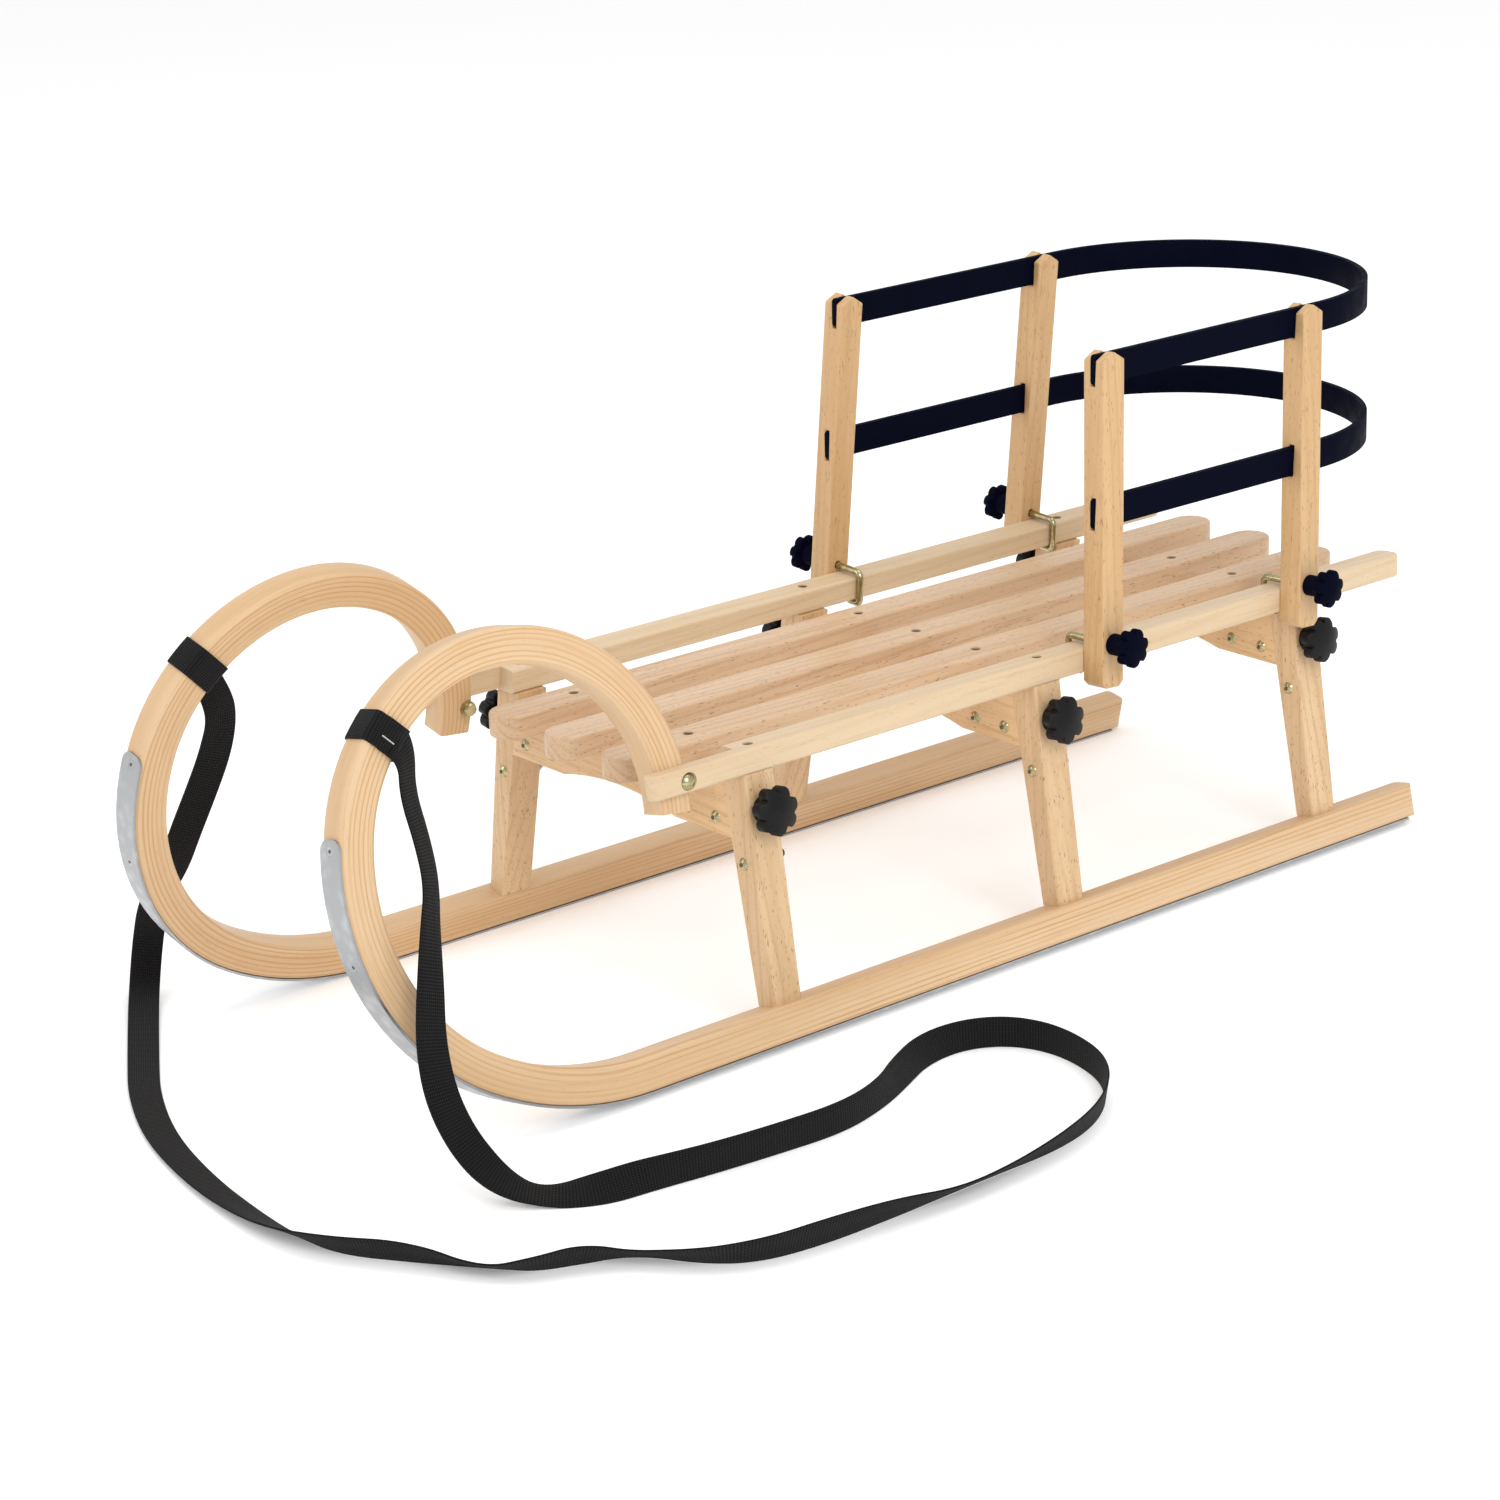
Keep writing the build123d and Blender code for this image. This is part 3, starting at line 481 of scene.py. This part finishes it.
# %% [markdown]
# Each runner is one stick of steamed wood: straight under the seat, then three bends of shrinking
# radius that curl into the horn. The section is swept along that line, so the growth lines run round
# the curl as they do in bent wood. Its rear end is rounded off in plan and every edge is eased.

# %% Bent runners
STRAIGHT_END, REAR_END = 441.0, -438.0
BENDS = ((248.0, 31.7), (167.0, 72.8), (130.3, 171.5))
REAR_ROUND, EASE = 8.0, 3.0


def bend_centres():
    """Centres of the three bends in the leaning side view, from the straight stretch up."""
    found = []
    x, v, heading = STRAIGHT_END, GUARD_T + RUNNER_H, 0.0
    for radius, bend in BENDS:
        found.append((x - radius * sin(heading), v + radius * cos(heading)))
        heading += radians(bend)
        x = found[-1][0] + radius * sin(heading)
        v = found[-1][1] - radius * cos(heading)
    return found


def runner_stations():
    """(convex point, inward normal, distance along, width trimmed at each side) down the stick."""
    found = []
    for i in range(9):
        back = REAR_ROUND * (1 - cos(i / 8 * pi / 2))
        trim = REAR_ROUND * (1 - sin(i / 8 * pi / 2))
        found.append((REAR_END + back, GUARD_T, 0.0, 1.0, back, trim))
    for i in range(1, 41):
        x = REAR_END + REAR_ROUND + (STRAIGHT_END - REAR_END - REAR_ROUND) * i / 40
        found.append((x, GUARD_T, 0.0, 1.0, x - REAR_END, 0.0))
    heading, along = 0.0, STRAIGHT_END - REAR_END
    for (radius, bend), (cx, cv) in zip(BENDS, bend_centres()):
        steps = int(bend / 2.5)
        for i in range(1, steps + 1):
            a = heading + radians(bend) * i / steps
            reach = radius + RUNNER_H
            spread = along + radians(bend) * i / steps * (radius + RUNNER_H / 2)
            found.append((cx + reach * sin(a), cv - reach * cos(a), -sin(a), cos(a), spread, 0.0))
        along += radians(bend) * (radius + RUNNER_H / 2)
        heading += radians(bend)
    return found


def rounded_section(wide, tall, ease_r, steps=4):
    """Corners of a rounded rectangle, as (in from the outer face, up from the convex face)."""
    spots = []
    corners = ((wide - ease_r, tall - ease_r, 0), (ease_r, tall - ease_r, 90),
               (ease_r, ease_r, 180), (wide - ease_r, ease_r, 270))
    for cx, cy, start in corners:
        for i in range(steps + 1):
            a = radians(start + 90 * i / steps)
            spots.append((cx + ease_r * cos(a), cy + ease_r * sin(a)))
    return spots


def runner(hand, flip):
    rings, lays = [], []
    outline = rounded_section(RUNNER_W, RUNNER_H, EASE)
    for x, v, nx, nv, along, trim in runner_stations():
        ring, lay = [], []
        for inward, rise in outline:
            inward = min(max(inward, trim), RUNNER_W - trim)
            spot = on_runner(x + nx * rise, v + nv * rise, inward)
            ring.append(Vector((spot.x, spot.y * flip, spot.z)))
            lay.append((along * MM + (0.4 if flip < 0 else 0.0), rise * MM, inward * MM))
        rings.append(ring)
        lays.append(lay)
    piece = swept(f"bent_runner_{hand}", rings, lays, bent_wood)
    crease = piece.modifiers.new("flat_ends", "EDGE_SPLIT")
    crease.split_angle = radians(50)
    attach(piece, "root")
    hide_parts(f"runner_{hand}")
    return piece


for hand, flip in (("left", 1), ("right", -1)):
    made = runner(hand, flip)
    print(made.name, len(made.data.polygons), "faces")

# %% [markdown]
# The metalwork has four finishes. The guards are galvanised, with soft grey patches. Bolts and hooks
# are yellow-passivated zinc, dull gold. Braces and guard screws are plain steel, and the slat screws
# are dark. Each is a metal whose colour and roughness drift with a noise at the right scale.

# %% Metal finishes


def metal_finish(name, light, dark, roughness, scale, crystals=False):
    finish = Finish(name, roughness=roughness, metallic=1.0)
    where = finish.place()
    patches = finish.noise(where, scale, 4.0)
    if crystals:
        cells = finish.node("ShaderNodeTexVoronoi")
        cells.inputs["Scale"].default_value = scale * 3
        finish.link(where, cells.inputs["Vector"])
        both = finish.maths("ADD", patches, cells.outputs["Distance"])
        patches = finish.maths("MULTIPLY", both, 0.62)
    finish.colour(finish.mix(finish.ramp(patches, 0.3, 0.7), light, dark))
    finish.rough(finish.ramp(patches, 0.2, 0.8, roughness * 0.8, roughness * 1.25))
    finish.bump(finish.noise(where, scale * 20, 2.0), 0.00004, 0.4)
    return finish


galvanised = metal_finish("galvanised_steel", (0.46, 0.47, 0.48), (0.40, 0.41, 0.42), 0.36, 30.0,
                          crystals=True)
zinc = metal_finish("yellow_zinc", (0.54, 0.48, 0.28), (0.34, 0.30, 0.17), 0.22, 160.0)
brace_steel = metal_finish("brace_steel", (0.52, 0.53, 0.54), (0.38, 0.39, 0.40), 0.4, 90.0)
dark_screw = metal_finish("dark_screw", (0.20, 0.15, 0.11), (0.10, 0.07, 0.05), 0.45, 220.0)
for hand in ("left", "right"):
    dress(f"runner_guard_{hand}", galvanised)
    for place in ("front", "middle", "rear"):
        dress(f"corner_brace_{place}_{hand}", brace_steel)
    for place in ("front", "rear"):
        dress(f"hook_{place}_{hand}", zinc)
for node, finish in (("guard_screws", brace_steel), ("slat_screws", dark_screw), ("brace_bolts", zinc),
                     ("horn_bolts", zinc), ("horn_nuts", zinc), ("yoke_inserts", brace_steel)):
    dress(node, finish)
print("metal pieces dressed")

# %% [markdown]
# Three black plastics. The big knobs and the nut caps are moulded with a fine spark-eroded grain. The
# backrest's bands and small knobs are smoother, blue-black, with a soft shine. The grain is a tiny
# bump, and the shine varies a little where hands have rubbed.

# %% Plastic finishes


def plastic_finish(name, colour, roughness, gloss, grain_mm, depth_mm):
    finish = Finish(name, roughness=roughness, gloss=gloss)
    where = finish.place()
    cloud = finish.noise(where, 55.0)
    finish.colour(finish.mix(cloud, colour, [c * 1.5 + 0.002 for c in colour]))
    finish.rough(finish.ramp(cloud, 0.3, 0.7, roughness * 0.85, roughness * 1.15))
    finish.bump(finish.noise(where, 1.0 / (grain_mm * MM), 2.0), depth_mm * MM, 0.6)
    return finish


knob_black = plastic_finish("knob_plastic", (0.0042, 0.0038, 0.0042), 0.42, 0.17, 0.8, 0.06)
band_black = plastic_finish("band_plastic", (0.0006, 0.0012, 0.0070), 0.6, 0.02, 1.6, 0.02)
cap_black = plastic_finish("cap_plastic", (0.0045, 0.0045, 0.005), 0.4, 0.2, 1.0, 0.04)
dress("brace_nuts", cap_black)
for node in ("band_upper", "band_lower"):
    dress(node, band_black)
    ease(node, 1.0)
for hand in ("left", "right"):
    for place in ("front", "middle", "rear"):
        dress(f"leg_knob_{place}_{hand}", knob_black)
        ease(f"leg_knob_{place}_{hand}", 0.7)
    for place in ("front", "rear"):
        dress(f"backrest_knob_{place}_{hand}", band_black)
        ease(f"backrest_knob_{place}_{hand}", 0.6)
print("plastic pieces dressed")

# %% [markdown]
# The bolt heads on the trestles have hexagon sockets. They repeat at known places, so a Geometry
# Nodes tree puts one small dark shape on each point of a cloud, turned to face the way that point's
# "facing" attribute says. The tree's sizes are named inputs. Screw drives and stitches use it too.

# %% Sockets with Geometry Nodes


def socket_tree(name, sides, finish):
    tree = bpy.data.node_groups.new(name, "GeometryNodeTree")
    tree.interface.new_socket("Points", in_out="INPUT", socket_type="NodeSocketGeometry")
    tree.interface.new_socket("Radius", in_out="INPUT", socket_type="NodeSocketFloat")
    tree.interface.new_socket("Depth", in_out="INPUT", socket_type="NodeSocketFloat")
    tree.interface.new_socket("Geometry", in_out="OUTPUT", socket_type="NodeSocketGeometry")
    add = tree.nodes.new
    entry, leave = add("NodeGroupInput"), add("NodeGroupOutput")
    shape = add("GeometryNodeMeshCylinder")
    shape.inputs["Vertices"].default_value = sides
    facing = add("GeometryNodeInputNamedAttribute")
    facing.data_type = "FLOAT_VECTOR"
    facing.inputs["Name"].default_value = "facing"
    align = add("FunctionNodeAlignRotationToVector")
    align.axis = "Z"
    spread, real = add("GeometryNodeInstanceOnPoints"), add("GeometryNodeRealizeInstances")
    paint = add("GeometryNodeSetMaterial")
    paint.inputs["Material"].default_value = finish.material
    links = ((entry.outputs["Radius"], shape.inputs["Radius"]),
             (entry.outputs["Depth"], shape.inputs["Depth"]),
             (entry.outputs["Points"], spread.inputs["Points"]),
             (shape.outputs["Mesh"], spread.inputs["Instance"]),
             (facing.outputs["Attribute"], align.inputs["Vector"]),
             (align.outputs["Rotation"], spread.inputs["Rotation"]),
             (spread.outputs["Instances"], real.inputs["Geometry"]),
             (real.outputs["Geometry"], paint.inputs["Geometry"]),
             (paint.outputs["Geometry"], leave.inputs["Geometry"]))
    for source, target in links:
        tree.links.new(source, target)
    return tree


def scatter(name, tree, seats, sizes, body):
    """A plain mesh of the tree's result on the seats, which are (place, facing) pairs."""
    cloud = bpy.data.meshes.new(name + "_points")
    cloud.from_pydata([tuple(place) for place, _ in seats], [], [])
    facing = cloud.attributes.new("facing", "FLOAT_VECTOR", "POINT")
    for item, (_, direction) in zip(facing.data, seats):
        item.vector = direction
    holder = new_piece(name + "_points", cloud)
    modifier = holder.modifiers.new("scatter", "NODES")
    modifier.node_group = tree
    for item in tree.interface.items_tree:
        if item.in_out == "INPUT" and item.name in sizes:
            modifier[item.identifier] = sizes[item.name]
    bpy.context.view_layer.update()
    real = bpy.data.meshes.new_from_object(holder.evaluated_get(bpy.context.evaluated_depsgraph_get()))
    bpy.data.objects.remove(holder)
    piece = new_piece(name, real)
    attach(piece, body)
    print(name, len(seats), "places,", len(real.polygons), "faces")
    return piece


socket_dark = Finish("socket_shadow", roughness=0.6)
shade = socket_dark.noise(socket_dark.place(), 400.0)
socket_dark.colour(socket_dark.mix(shade, (0.05, 0.04, 0.02), (0.11, 0.09, 0.05)))

PITCH = 311.0
BOLT_YZ, BOLT_HEAD_H = ((88.5, 177.0), (123.5, 177.0), (156.5, 146.0)), 3.2
bolt_seats = [(at(row * PITCH + BOLT_HEAD_H, hand * y, z), Vector((1, 0, 0)))
              for row in (1, 0, -1) for hand in (1, -1) for y, z in BOLT_YZ]
hexagon = socket_tree("hexagon_sockets", 6, socket_dark)
scatter("bolt_sockets", hexagon, bolt_seats, {"Radius": 1.9 * MM, "Depth": 0.3 * MM}, "root")

# %% [markdown]
# The guards' screws are countersunk with a small round drive. Three sit on the front bend and five
# along the straight, so their places come from the same bend centre and trestle pitch.

# %% Drives of the guard screws
GUARD_ARC, GUARD_FLAT = (11.6, -13.8, -40.0), (1.06, 0.48, -0.1, -0.68, -1.3)
ahead = at(1, 0, 0) - at(0, 0, 0)
rising = on_runner(0, 1) - on_runner(0, 0)
drive_seats = []
for flip in (1, -1):
    mirror = Vector((1, flip, 1))
    reach = BENDS[1][0] + RUNNER_H + GUARD_T
    for degree in GUARD_ARC:
        a = radians(degree)
        cx, cv = bend_centres()[1]
        outwards = (ahead * cos(a) + rising * sin(a)).normalized()
        spot = on_runner(cx + reach * cos(a), cv + reach * sin(a), RUNNER_W / 2) - outwards * 0.15 * MM
        drive_seats.append((spot * mirror, outwards * mirror))
    for share in GUARD_FLAT:
        outwards = -rising.normalized()
        spot = on_runner(share * PITCH, 0.0, RUNNER_W / 2) - outwards * 0.15 * MM
        drive_seats.append((spot * mirror, outwards * mirror))
star = socket_tree("round_drives", 8, socket_dark)
drive_size = {"Radius": 1.5 * MM, "Depth": 0.3 * MM}
scatter("guard_screw_drives", star, drive_seats, drive_size, "root")

# %% [markdown]
# Each end of the strap is sewn round its horn. The strap comes up the horn's outer side, goes round
# the bar and ends beneath itself, so that side has two layers. The loop is swept along the horn's
# rounded section, a hair away from the wood, and its width follows the curl. It wears the same
# webbing as the strap, because it is the same strap.

# %% The sewn loops
LOOP_ANGLE, HORN_CENTRE, HORN_R = radians(45.5), bend_centres()[2], BENDS[2][0]
LOOP_GAP = 0.2
LAYER = STRAP_T + 0.1


def horn_spot(inward, rise, along):
    """A point round the horn's section at the loop, and along the curl from the loop's middle."""
    reach = HORN_R + RUNNER_H - rise
    bend = LOOP_ANGLE + along / reach
    return on_runner(HORN_CENTRE[0] + reach * cos(bend), HORN_CENTRE[1] + reach * sin(bend), inward)


def strap_loop(hand, flip):
    off = LOOP_GAP + STRAP_T / 2
    around = rounded_section(RUNNER_W + 2 * off, RUNNER_H + 2 * off, EASE + off)
    around = [(a - off, b - off) for a, b in around]
    start = [(-off - LAYER, RUNNER_H - 1.0), (-off - LAYER, 19.0), (-off - LAYER, 10.0), (-off, 5.0)]
    path = start + around[10:] + around[:10] + [(-off, RUNNER_H - 8.0), (-off, 12.0)]
    rings, lays, travelled = [], [], 0.0
    for i, (a, b) in enumerate(path):
        before, after = path[max(i - 1, 0)], path[min(i + 1, len(path) - 1)]
        step = Vector((after[0] - before[0], after[1] - before[1])).normalized()
        if i:
            travelled += sqrt((a - before[0]) ** 2 + (b - before[1]) ** 2)
        ring = [horn_spot(a + step.y * t * STRAP_T, b - step.x * t * STRAP_T, w * STRAP_W)
                for w, t in SECTION]
        rings.append([Vector((c.x, c.y * flip, c.z)) for c in ring])
        lays.append([(travelled * MM, t * STRAP_T * MM, w * STRAP_W * MM) for w, t in SECTION])
    piece = swept(f"strap_loop_webbing_{hand}", rings, lays, strap_web)
    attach(piece, "root")
    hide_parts(f"strap_loop_{hand}")
    print(piece.name, round(travelled), "mm of strap")


for hand, flip in (("left", 1), ("right", -1)):
    strap_loop(hand, flip)

# %% [markdown]
# A bar of pale thread holds the layers together: a close zigzag that shows as a short light line
# on the side of the horn. It is one thin stitch shape repeated along the bar.

# %% Stitched bars on the strap loops
thread = Finish("stitch_thread", roughness=0.8)
twist = thread.noise(thread.place(), 900.0)
thread.colour(thread.mix(twist, (0.40, 0.38, 0.35), (0.62, 0.60, 0.56)))
stitch = socket_tree("stitches", 8, thread)
outward = (on_runner(0, 0, -1) - on_runner(0, 0, 0)).normalized()
stitch_seats = []
for flip in (1, -1):
    for i in range(11):
        place = horn_spot(-LOOP_GAP - STRAP_T - LAYER - 0.15, RUNNER_H - 8.0 - i * 1.1, -3.0)
        stitch_seats.append((Vector((place.x, place.y * flip, place.z)),
                             Vector((outward.x, outward.y * flip, outward.z))))
stitch_size = {"Radius": 0.55 * MM, "Depth": 0.5 * MM}
scatter("stitch_bars", stitch, stitch_seats, stitch_size, "root")

# %% [markdown]
# The set is a pale floor and plain, soft studio light. A broad key stands near the camera, so the
# faces that look at it are the brightest, with a weaker fill from the far side and a white sky.
# The floor glows faintly, so that it stays white far away, and the Standard view keeps the colours
# of the wood as strong as they are.

# %% Floor and light


def soft_light(name, place, size, power):
    lamp = bpy.data.lights.new(name, "AREA")
    lamp.energy, lamp.size = power, size
    holder = bpy.data.objects.new(name, lamp)
    bpy.context.scene.collection.objects.link(holder)
    holder.location = place
    holder.rotation_euler = (Vector((0, 0, 0.15)) - Vector(place)).to_track_quat("-Z", "Y").to_euler()
    return holder


floor_mesh = bpy.data.meshes.new("floor")
HALF = 12.0
corners = [(-HALF, -HALF, 0), (HALF, -HALF, 0), (HALF, HALF, 0), (-HALF, HALF, 0)]
floor_mesh.from_pydata(corners, [], [(0, 1, 2, 3)])
paper = Finish("floor_paper", roughness=0.9)
paper.colour(paper.mix(paper.noise(paper.place(), 2.0), (0.93, 0.93, 0.93), (0.95, 0.95, 0.95)))
paper.shader.inputs["Emission Color"].default_value = (1.0, 1.0, 1.0, 1.0)
paper.shader.inputs["Emission Strength"].default_value = 0.16
floor_mesh.materials.append(paper.material)
floor = new_piece("floor", floor_mesh)

world = bpy.data.worlds.new("white_room")
world.use_nodes = True
world.node_tree.nodes["Background"].inputs["Color"].default_value = (1.0, 1.0, 1.0, 1.0)
world.node_tree.nodes["Background"].inputs["Strength"].default_value = 0.82
bpy.context.scene.world = world
bpy.context.scene.view_settings.view_transform = "Standard"
soft_light("key_light", (1.2, 3.4, 2.6), 2.2, 72.0)
soft_light("fill_light", (3.0, -1.8, 2.2), 2.5, 28.0)
soft_light("top_light", (-0.6, 0.2, 3.4), 2.5, 25.0)
print("lights:", 3)
